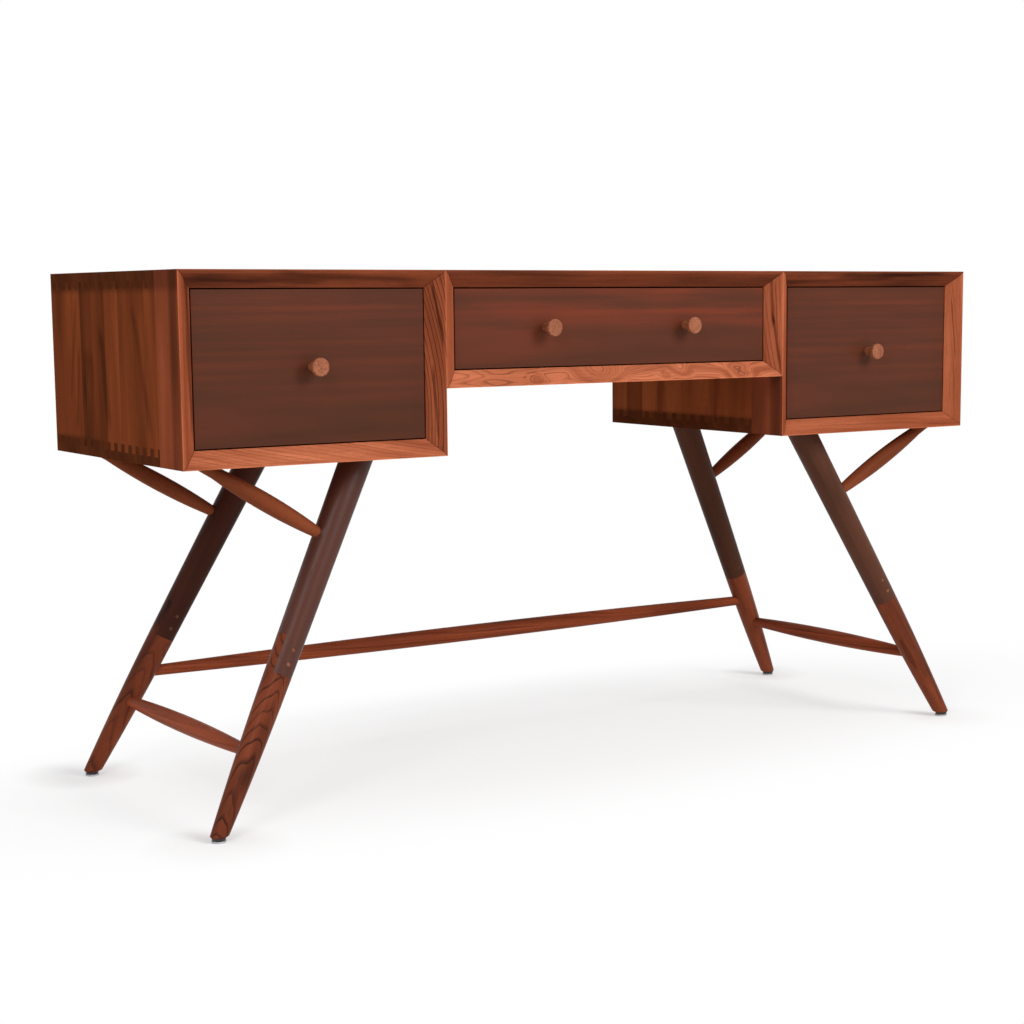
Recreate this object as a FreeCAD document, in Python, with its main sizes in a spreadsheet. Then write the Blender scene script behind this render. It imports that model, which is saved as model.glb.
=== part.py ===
import FreeCAD, Part
import os

import Sketcher

# A campaign desk: three drawer boxes with flush tops stand side by side on four splayed legs.
# X runs along the desk, -Y faces the sitter, +Z is up, and the origin lies on the floor under its middle.

Vector = FreeCAD.Vector
Placement = FreeCAD.Placement
Rotation = FreeCAD.Rotation

# Driving dimensions, in millimetres; lap_turn is in degrees, and each share is a part of the leg's length
SIZES = {
    # boxes
    "desk_width": 1420,
    "desk_depth": 460,
    "desk_height": 760,
    "pedestal_width": 400,
    "pedestal_height": 260,
    "centre_height": 165,
    "board": 24,
    "joint_lap": 13,
    "finger_count": 15,
    "back_thickness": 10,
    "back_inset": 3,
    # mitred front frames
    "frame_depth": 75,
    "frame_arris": 5,
    "frame_bevel": 19,
    # bolts that join the boxes
    "bolt_dia": 6,
    "bolt_head_dia": 15,
    "bolt_head": 2.5,
    "sleeve_dia": 9,
    "sleeve_length": 30,
    "bolt_spacing_y": 260,
    "bolt_spacing_z": 60,
    # drawers
    "drawer_gap": 2,
    "drawer_front": 20,
    "drawer_wall": 14,
    "drawer_back_gap": 23,
    "drawer_side_rise": 8,
    "drawer_side_drop": 16,
    "drawer_back_drop": 6,
    "drawer_bottom": 6,
    "bottom_groove": 6,
    "bottom_rise": 8,
    "panel_play": 0.2,
    # wooden runners
    "side_gap": 4,
    "runner_thickness": 11,
    "runner_height": 16,
    "runner_setback": 80,
    "runner_back_gap": 17,
    "pedestal_runner_rise": 70,
    "centre_runner_rise": 58,
    "runner_play": 0.3,
    # knobs
    "knob_length": 26,
    "knob_face_dia": 25.5,
    "knob_stem_dia": 13,
    "knob_stem": 9,
    "knob_rim": 6,
    "knob_round": 2,
    "knob_spacing": 258,
    "screw_dia": 4,
    "screw_head_dia": 8,
    "screw_head": 2.5,
    "screw_grip": 13,
    # legs
    "leg_top_inset_x": 295,
    "leg_top_inset_y": 74,
    "leg_foot_inset_x": 30,
    "leg_foot_inset_y": -1,
    "leg_top_dia": 46,
    "leg_waist_dia": 38.7,
    "leg_foot_dia": 23,
    "foot_chamfer": 2.5,
    "leg_tenon_dia": 28,
    "leg_tenon": 16,
    "lap_share": 0.484,
    "lap_length": 55,
    "lap_turn": 40,
    "peg_dia": 6,
    "peg_inset": 0.5,
    "peg_spacing": 21,
    # glides
    "glide_dia": 20.5,
    "glide_waist_dia": 17,
    "glide": 4,
    "pad_dia": 20,
    "pad": 2.5,
    "nail_dia": 3,
    "nail": 14,
    # braces and stretchers
    "spindle_end_dia": 17,
    "spindle_end": 20,
    "spindle_setback": 4,
    "brace_inset_x": 49,
    "brace_inset_y": 42,
    "brace_share": 0.221,
    "brace_tenon": 14,
    "brace_top_end": 30,
    "brace_belly_dia": 25.5,
    "side_stretcher_share": 0.775,
    "side_stretcher_belly_dia": 26,
    "long_stretcher_share": 0.689,
    "long_stretcher_belly_dia": 27,
    # fits
    "fit": 0.15,
    "end_gap": 1,
}

doc = FreeCAD.newDocument("CampaignDesk")
sheet = doc.addObject("Spreadsheet::Sheet", "Dim")
for row, (alias, size) in enumerate(SIZES.items(), start=1):
    sheet.set(f"A{row}", alias)
    sheet.set(f"B{row}", str(size))
    sheet.setAlias(f"B{row}", alias)
doc.recompute()

pieces = {}


def value(expression):
    """The number that an expression on the sheet comes to."""
    return float(sheet.evalExpression(expression))


def name_piece(label, piece):
    piece.Label = label
    pieces[label] = piece
    return piece


def place(piece, x, y, z, rotation=None):
    """Sets a piece at expressions for its place, turned by a rotation."""
    piece.Placement = Placement(Vector(), rotation or Rotation())
    for axis, expression in zip("xyz", (x, y, z)):
        piece.setExpression(f"Placement.Base.{axis}", expression)
    return piece


# Sketches and features


def new_sketch(body, role, offset=None):
    sketch = body.newObject("Sketcher::SketchObject", "Sketch")
    plane = next(feature for feature in body.Origin.OriginFeatures if feature.Role == role)
    sketch.AttachmentSupport = (plane, [""])
    sketch.MapMode = "FlatFace"
    if offset:
        sketch.setExpression("AttachmentOffset.Base.z", offset)
    return sketch


def pin_point(sketch, geometry, point, x, y):
    """Ties a point of a sketch to expressions for its place."""
    for kind, expression in (("DistanceX", x), ("DistanceY", y)):
        constraint = Sketcher.Constraint(kind, -1, 1, geometry, point, value(expression))
        index = sketch.addConstraint(constraint)
        sketch.setExpression(f"Constraints[{index}]", expression)


def tangent_middle(before, start, end):
    """The middle of the arc that leaves start along the line from before and reaches end."""
    along = (start - before).normalize()
    normal = Vector(-along.y, along.x, 0)
    chord = end - start
    radius = chord.dot(chord) / (2 * normal.dot(chord))
    centre = start + normal * radius
    return centre + ((start + end) / 2 - centre).normalize() * abs(radius)


def outline(sketch, corners, arcs=None):
    """A closed outline through pinned corners.

    arcs maps the number of a side to the point that its arc passes through, or to "tangent".
    """
    arcs = arcs or {}
    points = [Vector(value(x), value(y), 0) for x, y in corners]
    first = sketch.GeometryCount
    count = len(corners)
    ends = []
    for side, start in enumerate(points):
        end = points[(side + 1) % count]
        if side not in arcs:
            sketch.addGeometry(Part.LineSegment(start, end), False)
            ends.append((1, 2))
            continue
        if arcs[side] == "tangent":
            middle = tangent_middle(points[side - 1], start, end)
        else:
            middle = Vector(value(arcs[side][0]), value(arcs[side][1]), 0)
        turns_left = (middle - start).cross(end - middle).z > 0
        arc_ends = (start, end) if turns_left else (end, start)
        sketch.addGeometry(Part.Arc(arc_ends[0], middle, arc_ends[1]), False)
        ends.append((1, 2) if turns_left else (2, 1))
    for side in range(count):
        following = (side + 1) % count
        kind = "Tangent" if arcs.get(following) == "tangent" else "Coincident"
        joint = (first + side, ends[side][1], first + following, ends[following][0])
        sketch.addConstraint(Sketcher.Constraint(kind, *joint))
    for side, (x, y) in enumerate(corners):
        pin_point(sketch, first + side, ends[side][0], x, y)
    for side, through in arcs.items():
        if through != "tangent":
            mark = sketch.addGeometry(Part.Point(Vector(value(through[0]), value(through[1]), 0)), True)
            pin_point(sketch, mark, 1, *through)
            sketch.addConstraint(Sketcher.Constraint("PointOnObject", mark, 1, first + side))


def rectangle(sketch, x_low, x_high, y_low, y_high):
    outline(sketch, [(x_low, y_low), (x_high, y_low), (x_high, y_high), (x_low, y_high)])


def circle(sketch, x, y, diameter):
    shape = Part.Circle(Vector(value(x), value(y), 0), Vector(0, 0, 1), value(diameter) / 2)
    geometry = sketch.addGeometry(shape, False)
    pin_point(sketch, geometry, 3, x, y)
    index = sketch.addConstraint(Sketcher.Constraint("Diameter", geometry, value(diameter)))
    sketch.setExpression(f"Constraints[{index}]", diameter)


def pad(body, sketch, length, backwards=False):
    feature = body.newObject("PartDesign::Pad", "Pad")
    feature.Profile = sketch
    feature.Reversed = backwards
    feature.setExpression("Length", length)
    return feature


def pocket(body, sketch, length=None, backwards=False, both_ways=False):
    """Cuts a sketch into a body, right through where no length is given, and proves that it cut."""
    doc.recompute()
    before = body.Shape.Volume
    feature = body.newObject("PartDesign::Pocket", "Pocket")
    feature.Profile = sketch
    feature.Reversed = backwards
    if both_ways:
        feature.SideType = "Symmetric"
    if length:
        feature.setExpression("Length", length)
    else:
        feature.Type = "ThroughAll"
    doc.recompute()
    if feature.Shape.Volume >= before:
        raise ValueError(f"{body.Label}: a pocket cut nothing")
    return feature


def repeat(body, feature, sketch, axis, pitch, count):
    pattern = body.newObject("PartDesign::LinearPattern", "Pattern")
    pattern.Originals = [feature]
    pattern.Direction = (sketch, [axis])
    pattern.setExpression("Length", f"{pitch} * ({count} - 1)")
    pattern.setExpression("Occurrences", count)
    body.Tip = pattern
    return pattern


def turned(label, corners, arcs=None, seam=0):
    """A body turned about its own Z axis from half of its section, which lies seam degrees round from X."""
    body = doc.addObject("PartDesign::Body", label)
    section = new_sketch(body, "XZ_Plane")
    section.AttachmentOffset = Placement(Vector(), Rotation(Vector(0, 1, 0), seam))
    outline(section, corners, arcs)
    feature = body.newObject("PartDesign::Revolution", "Turning")
    feature.Profile = section
    feature.ReferenceAxis = (section, ["V_Axis"])
    feature.Angle = 360
    return body


# Solids and booleans


def block(low, high):
    """A box between two corners that are given as expressions."""
    box = doc.addObject("Part::Box", "Block")
    for side, start, end in zip(("Length", "Width", "Height"), low, high):
        box.setExpression(side, f"({end}) - ({start})")
    return place(box, *low)


def rod(radius, length, start, direction):
    """A cylinder from a start point along a direction."""
    cylinder = doc.addObject("Part::Cylinder", "Rod")
    cylinder.setExpression("Radius", radius)
    cylinder.setExpression("Height", length)
    cylinder.Placement = Placement(start, Rotation(Vector(0, 0, 1), direction))
    return cylinder


def combine(kind, base, *tools):
    """Applies a boolean, such as Part::Cut, with one tool after another."""
    for tool in tools:
        result = doc.addObject(kind, "Boolean")
        result.Base = base
        result.Tool = tool
        base = result
    return base


def group(*members):
    compound = doc.addObject("Part::Compound", "Group")
    compound.Links = list(members)
    return compound


def mirrored(piece, plane_x="0"):
    """A piece's mirror image about an upright plane across the desk."""
    mirror = doc.addObject("Part::Mirroring", "Mirror")
    mirror.Source = piece
    mirror.Normal = Vector(1, 0, 0)
    mirror.setExpression("Base.x", plane_x)
    return mirror


# Legs: the places of their axes, which the boxes' mortises and the spindles share

BOX_FLOOR = "(Dim.desk_height - Dim.pedestal_height)"
FOOT_LEVEL = "(Dim.glide + Dim.pad)"
LEG_LENGTH = (
    "sqrt((Dim.leg_top_inset_x - Dim.leg_foot_inset_x)^2"
    f" + (Dim.leg_top_inset_y - Dim.leg_foot_inset_y)^2 + {BOX_FLOOR}^2)"
)
HALF_DESK = {"x": "Dim.desk_width / 2", "y": "Dim.desk_depth / 2"}
# Distances down the leg from the box's floor
LAP_START = f"(Dim.lap_share * {LEG_LENGTH})"
LAP_END = f"({LAP_START} + Dim.lap_length)"
BRACE_DROP = f"(Dim.brace_share * {LEG_LENGTH})"
SIDE_STRETCHER_DROP = f"(Dim.side_stretcher_share * {LEG_LENGTH})"
LONG_STRETCHER_DROP = f"(Dim.long_stretcher_share * {LEG_LENGTH})"
SPINDLE_RADIUS = "(Dim.spindle_end_dia / 2)"
SOCKET_RADIUS = f"({SPINDLE_RADIUS} + Dim.fit)"
FRONT = -1
REAR = 1
LEFT_LEGS = {"front": FRONT, "rear": REAR}


def leg_reach(axis, drop):
    """How far a leg's axis stands out from the desk's middle along x or y, at a distance down the leg."""
    inset = f"Dim.leg_top_inset_{axis}"
    splay = f"({inset} - Dim.leg_foot_inset_{axis})"
    return f"({HALF_DESK[axis]} - {inset} + {splay} * {drop} / {LEG_LENGTH})"


def leg_level(drop):
    """The height of a leg's axis at a distance down the leg."""
    return f"({BOX_FLOOR} * (1 - {drop} / {LEG_LENGTH}))"


def on_leg(end, drop):
    """The point of a left leg's axis at a distance down the leg."""
    return Vector(-value(leg_reach("x", drop)), end * value(leg_reach("y", drop)), value(leg_level(drop)))


def leg_top(end):
    return on_leg(end, "0")


def leg_axis(end):
    """The upward direction of a left leg."""
    return (leg_top(end) - on_leg(end, LEG_LENGTH)).normalize()


def leg_placement(end):
    """A leg's frame: Z up its axis, and Y to the rear, square to the splice."""
    axis = leg_axis(end)
    rear = (Vector(0, 1, 0) - axis * axis.y).normalize()
    return Placement(leg_top(end), Rotation(rear.cross(axis), rear, axis, "ZYX"))


def brace_reach(axis):
    """How far a brace's top stands out from the desk's middle along x or y."""
    return f"({HALF_DESK[axis]} - Dim.brace_inset_{axis})"


def brace_top(end):
    return Vector(-value(brace_reach("x")), end * value(brace_reach("y")), value(BOX_FLOOR))


def brace_axis(end):
    return (brace_top(end) - on_leg(end, BRACE_DROP)).normalize()


# Boxes: boards with half-blind finger joints, behind a mitred and bevelled front frame

CARCASS_DEPTH = "(Dim.desk_depth - Dim.frame_depth)"
CARCASS_FRONT = "(Dim.frame_depth - Dim.desk_depth / 2)"
FRONT_FACE = "(-Dim.desk_depth / 2)"
PITCH = f"({CARCASS_DEPTH} / Dim.finger_count)"
FINGER_LOW = f"{PITCH} / 4"
FINGER_HIGH = f"{PITCH} * 3 / 4"
CEILING = "(Dim.desk_height - Dim.board)"
SLEEVE_HOLE = "(Dim.sleeve_dia + 2 * Dim.fit)"
BOLT_LEVEL = "(Dim.desk_height - Dim.centre_height / 2)"
HALF_TURN = Rotation(Vector(0, 1, 0), 180)

BOXES = {
    "left": {
        "middle": "((Dim.pedestal_width - Dim.desk_width) / 2)",
        "width": "Dim.pedestal_width",
        "height": "Dim.pedestal_height",
        "runner_rise": "Dim.pedestal_runner_rise",
        "sides": ("outer", "inner"),
        "bolted": ("inner",),
        "knobs": {"knob": "0"},
    },
    "centre": {
        "middle": "0",
        "width": "(Dim.desk_width - 2 * Dim.pedestal_width)",
        "height": "Dim.centre_height",
        "runner_rise": "Dim.centre_runner_rise",
        "sides": ("left", "right"),
        "bolted": ("left", "right"),
        "knobs": {"left_knob": "(-Dim.knob_spacing / 2)", "right_knob": "(Dim.knob_spacing / 2)"},
    },
}


def finger_board(label, box):
    """A top or bottom board, outer face down, with notches in its ends for the sides' fingers."""
    body = doc.addObject("PartDesign::Body", label)
    half = f"{box['width']} / 2"
    plan = new_sketch(body, "XY_Plane")
    rectangle(plan, f"-{half}", half, "0", CARCASS_DEPTH)
    pad(body, plan, "Dim.board")
    notches = new_sketch(body, "XY_Plane", "Dim.board")
    rectangle(notches, f"-{half}", f"-{half} + Dim.board", FINGER_LOW, FINGER_HIGH)
    rectangle(notches, f"{half} - Dim.board", half, FINGER_LOW, FINGER_HIGH)
    notch = pocket(body, notches, "Dim.board - Dim.joint_lap")
    repeat(body, notch, notches, "V_Axis", PITCH, "Dim.finger_count")
    return body


def side_board(label, box, bolted):
    """A side with fingers at both ends, and bolt holes where it meets the next box."""
    body = doc.addObject("PartDesign::Body", label)
    height = box["height"]
    face = new_sketch(body, "YZ_Plane")
    rectangle(face, "0", CARCASS_DEPTH, "Dim.board", f"{height} - Dim.board")
    pad(body, face, "Dim.board")
    fingers = new_sketch(body, "YZ_Plane")
    rectangle(fingers, FINGER_LOW, FINGER_HIGH, "Dim.joint_lap", "Dim.board")
    rectangle(fingers, FINGER_LOW, FINGER_HIGH, f"{height} - Dim.board", f"{height} - Dim.joint_lap")
    finger = pad(body, fingers, "Dim.board")
    repeat(body, finger, fingers, "H_Axis", PITCH, "Dim.finger_count")
    if bolted:
        holes = new_sketch(body, "YZ_Plane")
        for y, z in bolt_places():
            circle(holes, f"{y} - {CARCASS_FRONT}", f"{z} - Dim.desk_height + {height}", SLEEVE_HOLE)
        pocket(body, holes, both_ways=True)
    return body


def bolt_places():
    """The heights and depths of the bolts between two boxes."""
    middle = f"({CARCASS_FRONT} + {CARCASS_DEPTH} / 2)"
    for y_sign in "-+":
        for z_sign in "-+":
            yield (
                f"({middle} {y_sign} Dim.bolt_spacing_y / 2)",
                f"({BOLT_LEVEL} {z_sign} Dim.bolt_spacing_z / 2)",
            )


def frame_member(length):
    """One mitred member of a front frame, outer edge down, bevelled towards the drawer."""
    body = doc.addObject("PartDesign::Body", "FrameMember")
    half = f"{length} / 2"
    mitred = new_sketch(body, "XZ_Plane")
    inner = f"({half} - Dim.board)"
    outline(mitred, [(f"-{half}", "0"), (half, "0"), (inner, "Dim.board"), (f"-{inner}", "Dim.board")])
    pad(body, mitred, "Dim.frame_depth", backwards=True)
    bevel = new_sketch(body, "YZ_Plane")
    outline(bevel, [("0", "Dim.frame_arris"), ("Dim.frame_bevel", "Dim.board"), ("0", "Dim.board")])
    pocket(body, bevel, both_ways=True)
    return body


def front_frame(box, mortises):
    """The four members of a box's frame, its lower one bored with the mortises."""
    half = f"{box['width']} / 2"
    floor = f"(Dim.desk_height - {box['height']})"
    level = f"(Dim.desk_height - {box['height']} / 2)"
    left = f"{box['middle']} - {half}"
    right = f"{box['middle']} + {half}"
    turn = Rotation(Vector(0, 1, 0), 90)
    lower = place(frame_member(box["width"]), box["middle"], FRONT_FACE, floor)
    return group(
        combine("Part::Cut", lower, *mortises),
        place(frame_member(box["width"]), box["middle"], FRONT_FACE, "Dim.desk_height", HALF_TURN),
        place(frame_member(box["height"]), left, FRONT_FACE, level, turn),
        place(frame_member(box["height"]), right, FRONT_FACE, level, turn.inverted()),
    )


def tenon_mortises(end):
    """The blind holes in the left pedestal's underside for a leg's tenon and a brace's end."""
    start = leg_top(end) - leg_axis(end) * value("Dim.leg_tenon_dia")
    depth = "Dim.leg_tenon_dia + Dim.leg_tenon + Dim.end_gap"
    leg_hole = rod("Dim.leg_tenon_dia / 2 + Dim.fit", depth, start, leg_axis(end))
    start = brace_top(end) - brace_axis(end) * value("Dim.spindle_end_dia * 2")
    depth = "Dim.spindle_end_dia * 2 + Dim.brace_tenon + Dim.end_gap"
    return leg_hole, rod(SOCKET_RADIUS, depth, start, brace_axis(end))


for box_name, box in BOXES.items():
    floor = f"(Dim.desk_height - {box['height']})"
    left_face = f"({box['middle']} - {box['width']} / 2)"
    right_face = f"({box['middle']} + {box['width']} / 2)"
    front_mortises = tenon_mortises(FRONT) if box_name == "left" else ()
    rear_mortises = tenon_mortises(REAR) if box_name == "left" else ()
    top = finger_board("TopBoard", box)
    place(top, box["middle"], CARCASS_FRONT, "Dim.desk_height", HALF_TURN)
    name_piece(f"{box_name}_top_board", top)
    bottom = place(finger_board("BottomBoard", box), box["middle"], CARCASS_FRONT, floor)
    name_piece(f"{box_name}_bottom_board", combine("Part::Cut", bottom, *front_mortises, *rear_mortises))
    for side_name, x in zip(box["sides"], (left_face, f"{right_face} - Dim.board")):
        side = side_board("SideBoard", box, side_name in box["bolted"])
        name_piece(f"{box_name}_{side_name}_side", place(side, x, CARCASS_FRONT, floor))
    back_face = "(Dim.desk_depth / 2 - Dim.back_inset)"
    back = block(
        (f"{left_face} + Dim.board", f"{back_face} - Dim.back_thickness", f"{floor} + Dim.board"),
        (f"{right_face} - Dim.board", back_face, CEILING),
    )
    name_piece(f"{box_name}_back_panel", back)
    name_piece(f"{box_name}_front_frame", front_frame(box, front_mortises))


# Bolts with sleeve nuts, which clamp the pedestals to the centre box


def headed_pin(radius, length, head_radius, head):
    """A bolt or screw along Z, with the seat of its flat head at the origin."""
    corners = [("0", f"-{head}"), (head_radius, f"-{head}"), (head_radius, "0")]
    corners += [(radius, "0"), (radius, length), ("0", length)]
    return turned("HeadedPin", corners)


def box_bolt():
    """A bolt along Z, its head on the joint's near face."""
    length = "2 * Dim.board - Dim.end_gap"
    return headed_pin("Dim.bolt_dia / 2", length, "Dim.bolt_head_dia / 2", "Dim.bolt_head")


def sleeve_nut():
    """The flat-headed nut whose sleeve takes the bolt, with its head on the joint's far face."""
    bore = "(Dim.bolt_dia / 2 + Dim.fit)"
    sleeve = "Dim.sleeve_dia / 2"
    head = "Dim.bolt_head_dia / 2"
    far = "(2 * Dim.board)"
    start = f"{far} - Dim.sleeve_length"
    outer = f"{far} + Dim.bolt_head"
    corners = [(bore, start), (sleeve, start), (sleeve, far), (head, far)]
    corners += [(head, outer), ("0", outer), ("0", far), (bore, far)]
    return turned("SleeveNut", corners)


INNER_FACE = "(-Dim.desk_width / 2 + Dim.pedestal_width - Dim.board)"
ALONG_X = Rotation(Vector(0, 0, 1), Vector(1, 0, 0))
left_bolts = group(*(
    place(make(), INNER_FACE, y, z, ALONG_X) for y, z in bolt_places() for make in (box_bolt, sleeve_nut)
))
name_piece("box_connectors", group(left_bolts, mirrored(left_bolts)))


# Drawers on wooden runners: inset fronts, grooved sides, and a bottom panel in grooves

DRAWER_FACE = f"({FRONT_FACE} + Dim.frame_bevel)"
DRAWER_INSIDE = f"({DRAWER_FACE} + Dim.drawer_front)"
BACK_INSIDE = "(Dim.desk_depth / 2 - Dim.back_inset - Dim.back_thickness)"
DRAWER_REAR = f"({BACK_INSIDE} - Dim.drawer_back_gap)"
DRAWER_LENGTH = f"({DRAWER_REAR} - {DRAWER_INSIDE})"
SIDE_LOW = "(Dim.drawer_gap + Dim.drawer_side_rise)"
PANEL_LOW = f"({SIDE_LOW} + Dim.bottom_rise)"
PANEL_HIGH = f"({PANEL_LOW} + Dim.drawer_bottom)"
GROOVE_LOW = f"({PANEL_LOW} - Dim.panel_play)"
GROOVE_HIGH = f"({PANEL_HIGH} + Dim.panel_play)"
TO_FRONT = Rotation(Vector(0, 0, 1), Vector(0, -1, 0))


def drawer_front(box, opening, opening_height):
    """The inset front: a groove for the bottom behind, and a screw hole for each knob."""
    body = doc.addObject("PartDesign::Body", "DrawerFront")
    half = f"({opening} / 2 - Dim.drawer_gap)"
    face = new_sketch(body, "XZ_Plane")
    rectangle(face, f"-{half}", half, "Dim.drawer_gap", f"{opening_height} - Dim.drawer_gap")
    pad(body, face, "Dim.drawer_front", backwards=True)
    groove = new_sketch(body, "XZ_Plane", "-Dim.drawer_front")
    reach = f"({opening} / 2 - Dim.side_gap - Dim.drawer_wall + Dim.bottom_groove)"
    rectangle(groove, f"-{reach}", reach, GROOVE_LOW, GROOVE_HIGH)
    pocket(body, groove, "Dim.bottom_groove", backwards=True)
    holes = new_sketch(body, "XZ_Plane")
    for x in box["knobs"].values():
        circle(holes, x, f"{opening_height} / 2", "Dim.screw_dia + 2 * Dim.fit")
    pocket(body, holes)
    return body


def drawer_side(box, opening_height):
    """The left side: a runner groove outside, stopped at the front, and a bottom groove inside."""
    body = doc.addObject("PartDesign::Body", "DrawerSide")
    face = new_sketch(body, "YZ_Plane")
    high = f"{opening_height} - Dim.drawer_gap - Dim.drawer_side_drop"
    rectangle(face, "0", DRAWER_LENGTH, SIDE_LOW, high)
    pad(body, face, "Dim.drawer_wall")
    runway = new_sketch(body, "YZ_Plane")
    stop = "Dim.runner_setback - Dim.frame_bevel - Dim.drawer_front - Dim.runner_play"
    half = "(Dim.runner_height / 2 + Dim.runner_play)"
    rise = box["runner_rise"]
    rectangle(runway, stop, DRAWER_LENGTH, f"{rise} - {half}", f"{rise} + {half}")
    pocket(body, runway, "Dim.runner_thickness - Dim.side_gap + Dim.runner_play", backwards=True)
    groove = new_sketch(body, "YZ_Plane", "Dim.drawer_wall")
    rectangle(groove, "0", DRAWER_LENGTH, GROOVE_LOW, GROOVE_HIGH)
    pocket(body, groove, "Dim.bottom_groove")
    return body


def knob():
    """A turned knob along Z: a slim stem that flares to a flat round face, bored for its screw."""
    bore = "(Dim.screw_dia / 2 + Dim.fit)"
    depth = "(Dim.screw_grip + Dim.end_gap)"
    stem = "Dim.knob_stem_dia / 2"
    face = "Dim.knob_face_dia / 2"
    inset = "Dim.knob_round * (1 - sqrt(2) / 2)"
    corners = [
        (bore, "0"),
        (stem, "0"),
        (stem, "Dim.knob_stem"),
        (face, "Dim.knob_length - Dim.knob_rim"),
        (face, "Dim.knob_length - Dim.knob_round"),
        (f"{face} - Dim.knob_round", "Dim.knob_length"),
        ("0", "Dim.knob_length"),
        ("0", depth),
        (bore, depth),
    ]
    return turned("Knob", corners, {2: "tangent", 4: (f"{face} - {inset}", f"Dim.knob_length - {inset}")})


def knob_screw():
    """A screw along Z, its head behind the drawer front and its tip in the knob."""
    length = "Dim.drawer_front + Dim.screw_grip"
    return headed_pin("Dim.screw_dia / 2", length, "Dim.screw_head_dia / 2", "Dim.screw_head")


for box_name, box in BOXES.items():
    middle = box["middle"]
    floor = f"(Dim.desk_height - {box['height']} + Dim.board)"
    opening = f"({box['width']} - 2 * Dim.board)"
    opening_height = f"({box['height']} - 2 * Dim.board)"
    outside = f"({opening} / 2 - Dim.side_gap)"
    inside = f"({outside} - Dim.drawer_wall)"
    panel_reach = f"({inside} + Dim.bottom_groove - Dim.panel_play)"

    front = place(drawer_front(box, opening, opening_height), middle, DRAWER_FACE, floor)
    name_piece(f"{box_name}_drawer_front", front)
    left_side = place(drawer_side(box, opening_height), f"{middle} - {outside}", DRAWER_INSIDE, floor)
    name_piece(f"{box_name}_drawer_sides", group(left_side, mirrored(left_side, middle)))
    side_top = f"{floor} + {opening_height} - Dim.drawer_gap - Dim.drawer_side_drop"
    drawer_back = block(
        (f"{middle} - {inside}", f"{DRAWER_REAR} - Dim.drawer_wall", f"{floor} + {GROOVE_HIGH}"),
        (f"{middle} + {inside}", DRAWER_REAR, f"{side_top} - Dim.drawer_back_drop"),
    )
    name_piece(f"{box_name}_drawer_back", drawer_back)
    panel_front = f"{DRAWER_INSIDE} - Dim.bottom_groove + Dim.panel_play"
    drawer_bottom = block(
        (f"{middle} - {panel_reach}", panel_front, f"{floor} + {PANEL_LOW}"),
        (f"{middle} + {panel_reach}", DRAWER_REAR, f"{floor} + {PANEL_HIGH}"),
    )
    name_piece(f"{box_name}_drawer_bottom", drawer_bottom)

    runner_front = f"({FRONT_FACE} + Dim.runner_setback)"
    runner_level = f"({floor} + {box['runner_rise']})"
    left_runner = block(
        (f"{middle} - {opening} / 2", runner_front, f"{runner_level} - Dim.runner_height / 2"),
        (
            f"{middle} - {opening} / 2 + Dim.runner_thickness",
            f"{BACK_INSIDE} - Dim.runner_back_gap",
            f"{runner_level} + Dim.runner_height / 2",
        ),
    )
    name_piece(f"{box_name}_drawer_runners", group(left_runner, mirrored(left_runner, middle)))

    screws = []
    knob_level = f"{floor} + {opening_height} / 2"
    for knob_name, offset in box["knobs"].items():
        x = f"{middle} + {offset}"
        name_piece(f"{box_name}_{knob_name}", place(knob(), x, DRAWER_FACE, knob_level, TO_FRONT))
        screws.append(place(knob_screw(), x, DRAWER_INSIDE, knob_level, TO_FRONT))
    name_piece(f"{box_name}_knob_screws", group(*screws))


# Legs: turned in two woods and spliced by a pegged half lap, dark half to the front and the desk's middle

# The turning's seam runs clear of the lap and of the pegs
LEG_SEAM = -45


def leg_blank(label):
    """The whole leg's turning: a slight cone as far as the splice goes, then one arc to the foot."""
    over = "Dim.leg_top_dia"
    cone = f"(Dim.leg_top_dia - Dim.leg_waist_dia) / 2 / {LAP_END}"
    over_radius = f"Dim.leg_top_dia / 2 + {cone} * {over}"
    foot = "Dim.leg_foot_dia / 2"
    end = f"-{LEG_LENGTH} - Dim.leg_foot_dia"
    corners = [
        ("0", over), (over_radius, over), ("Dim.leg_waist_dia / 2", f"-{LAP_END}"),
        (foot, f"-{LEG_LENGTH}"), (foot, end), ("0", end),
    ]
    return turned(label, corners, {2: "tangent"}, seam=LEG_SEAM)


def peg_drops():
    for sign in "-+":
        yield f"({LAP_START} + Dim.lap_length / 2 {sign} Dim.peg_spacing / 2)"


def leg_piece(label, end, upper):
    """Cuts a leg blank to one half of the splice, with its peg holes, and sets it at its splay."""
    body = leg_blank(label)
    reach = "Dim.leg_top_dia"
    holes = new_sketch(body, "XZ_Plane")
    for drop in peg_drops():
        circle(holes, "0", f"-{drop}", "Dim.peg_dia + 2 * Dim.fit")
    pocket(body, holes, both_ways=True)
    waste = new_sketch(body, "XZ_Plane")
    if upper:
        rectangle(waste, f"-{reach}", reach, f"-{LEG_LENGTH} - 2 * Dim.leg_foot_dia", f"-{LAP_END}")
    else:
        rectangle(waste, f"-{reach}", reach, f"-{LAP_START}", "2 * Dim.leg_top_dia")
    pocket(body, waste, both_ways=True)
    half_lap = new_sketch(body, "XZ_Plane")
    half_lap.AttachmentOffset = Placement(Vector(), Rotation(Vector(0, 1, 0), value("Dim.lap_turn")))
    rectangle(half_lap, f"-{reach}", reach, f"-{LAP_END}", f"-{LAP_START}")
    pocket(body, half_lap, backwards=not upper)
    body.Placement = leg_placement(end)
    return body


def socket(end, drop, direction):
    """The blind hole in a leg that takes a spindle's end."""
    start = on_leg(end, drop) + direction * value("Dim.spindle_setback - Dim.end_gap")
    return rod(SOCKET_RADIUS, "Dim.leg_top_dia", start, direction)


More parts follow.
